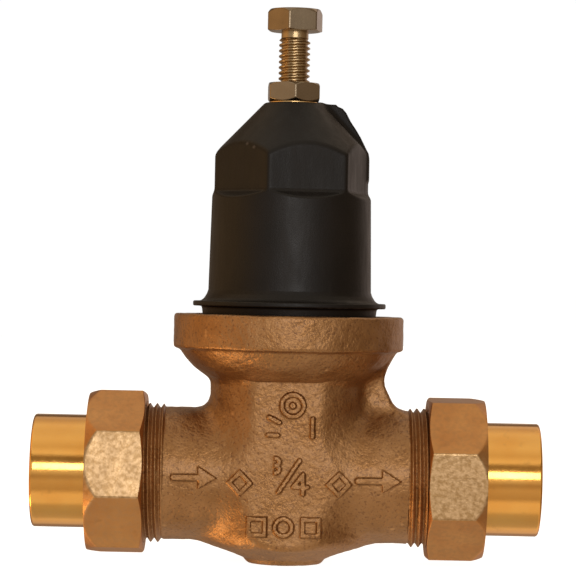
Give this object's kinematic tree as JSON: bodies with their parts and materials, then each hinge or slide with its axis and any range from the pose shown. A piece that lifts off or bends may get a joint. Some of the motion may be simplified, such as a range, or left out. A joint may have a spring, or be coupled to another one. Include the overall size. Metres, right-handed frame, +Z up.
{
  "type": "pressure reducing valve",
  "caption": "In-line water pressure reducing valve with a cast body, a domed spring bonnet, a hexagon adjusting screw and a union tailpiece with a solder socket on each port.",
  "frame": {"origin": "middle of the flat foot under the body", "axes": "+X along the flow, out of the outlet; +Z up along the spindle to the adjusting screw; +Y to the back"},
  "size_m": [0.128, 0.0582, 0.1404],
  "materials": {
    "cast_bronze": "sand cast bronze, tumbled, brown and slightly rough",
    "nut_brass": "machined brass forging, fine grain",
    "polished_brass": "turned and polished brass",
    "machined_brass": "turned brass",
    "screw_brass": "dull yellow plated brass",
    "black_composite": "moulded black glass filled composite, semi gloss",
    "rubber": "moulded rubber",
    "steel": "stainless steel",
    "fibre": "compressed fibre sheet"
  },
  "bodies": {
    "valve_body": {"body": "cast_bronze", "bonnet": "black_composite", "thread_insert": "machined_brass", "friction_ring": "fibre", "diaphragm": "rubber", "cartridge_barrel": "machined_brass", "seat_ring": "steel", "barrel_upper_oring": "rubber", "barrel_lower_oring": "rubber", "strainer_screen": "steel", "adjusting_spring": "steel"},
    "stem_group": {"stem": "machined_brass", "diaphragm_washer": "machined_brass", "diaphragm_plate": "steel", "stem_nut": "machined_brass", "piston_oring": "rubber", "disc_holder": "machined_brass", "seat_disc": "rubber", "disc_screw": "steel"},
    "spring_button": {"spring_button": "steel"},
    "adjusting_screw": {"adjusting_screw": "screw_brass"},
    "lock_nut": {"lock_nut": "screw_brass"},
    "inlet_tail": {"inlet_tailpiece": "polished_brass", "inlet_gasket": "fibre"},
    "inlet_nut": {"inlet_union_nut": "nut_brass"},
    "outlet_tail": {"outlet_tailpiece": "polished_brass", "outlet_gasket": "fibre"},
    "outlet_nut": {"outlet_union_nut": "nut_brass"}
  },
  "joints": [
    {"name": "stem_lift", "type": "slide", "parent": "valve_body", "child": "stem_group", "axis": [0, 0, 1], "range_m": [0, 0.003], "stiffness_N_per_m": 2000, "springref_m": -0.002, "deforming": ["diaphragm", "adjusting_spring"]},
    {"name": "button_travel", "type": "slide", "parent": "valve_body", "child": "spring_button", "axis": [0, 0, 1], "range_m": [-0.01129, 0], "deforming": ["adjusting_spring"]},
    {"name": "screw_turn", "type": "hinge", "parent": "spring_button", "child": "adjusting_screw", "pos_m": [0, 0, 0.12], "axis": [0, 0, 1], "range_deg": [-2880, 0]},
    {"name": "lock_nut_turn", "type": "hinge", "parent": "valve_body", "child": "lock_nut", "pos_m": [0, 0, 0.12], "axis": [0, 0, 1], "range_deg": [0, 180]},
    {"name": "inlet_draw", "type": "slide", "parent": "valve_body", "child": "inlet_tail", "axis": [-1, 0, 0], "range_m": [0, 0.00544]},
    {"name": "inlet_nut_turn", "type": "hinge", "parent": "inlet_tail", "child": "inlet_nut", "pos_m": [-0.043, 0, 0.0222], "axis": [-1, 0, 0], "range_deg": [0, 1080]},
    {"name": "outlet_draw", "type": "slide", "parent": "valve_body", "child": "outlet_tail", "axis": [1, 0, 0], "range_m": [0, 0.00544]},
    {"name": "outlet_nut_turn", "type": "hinge", "parent": "outlet_tail", "child": "outlet_nut", "pos_m": [0.043, 0, 0.0222], "axis": [1, 0, 0], "range_deg": [0, 1080]}
  ],
  "couplings": [
    {"joint": "screw_turn", "follows": "button_travel", "rad_per_m": 4453},
    {"joint": "inlet_draw", "follows": "inlet_nut_turn", "m_per_rad": 0.00028871},
    {"joint": "outlet_draw", "follows": "outlet_nut_turn", "m_per_rad": 0.00028871}
  ]
}
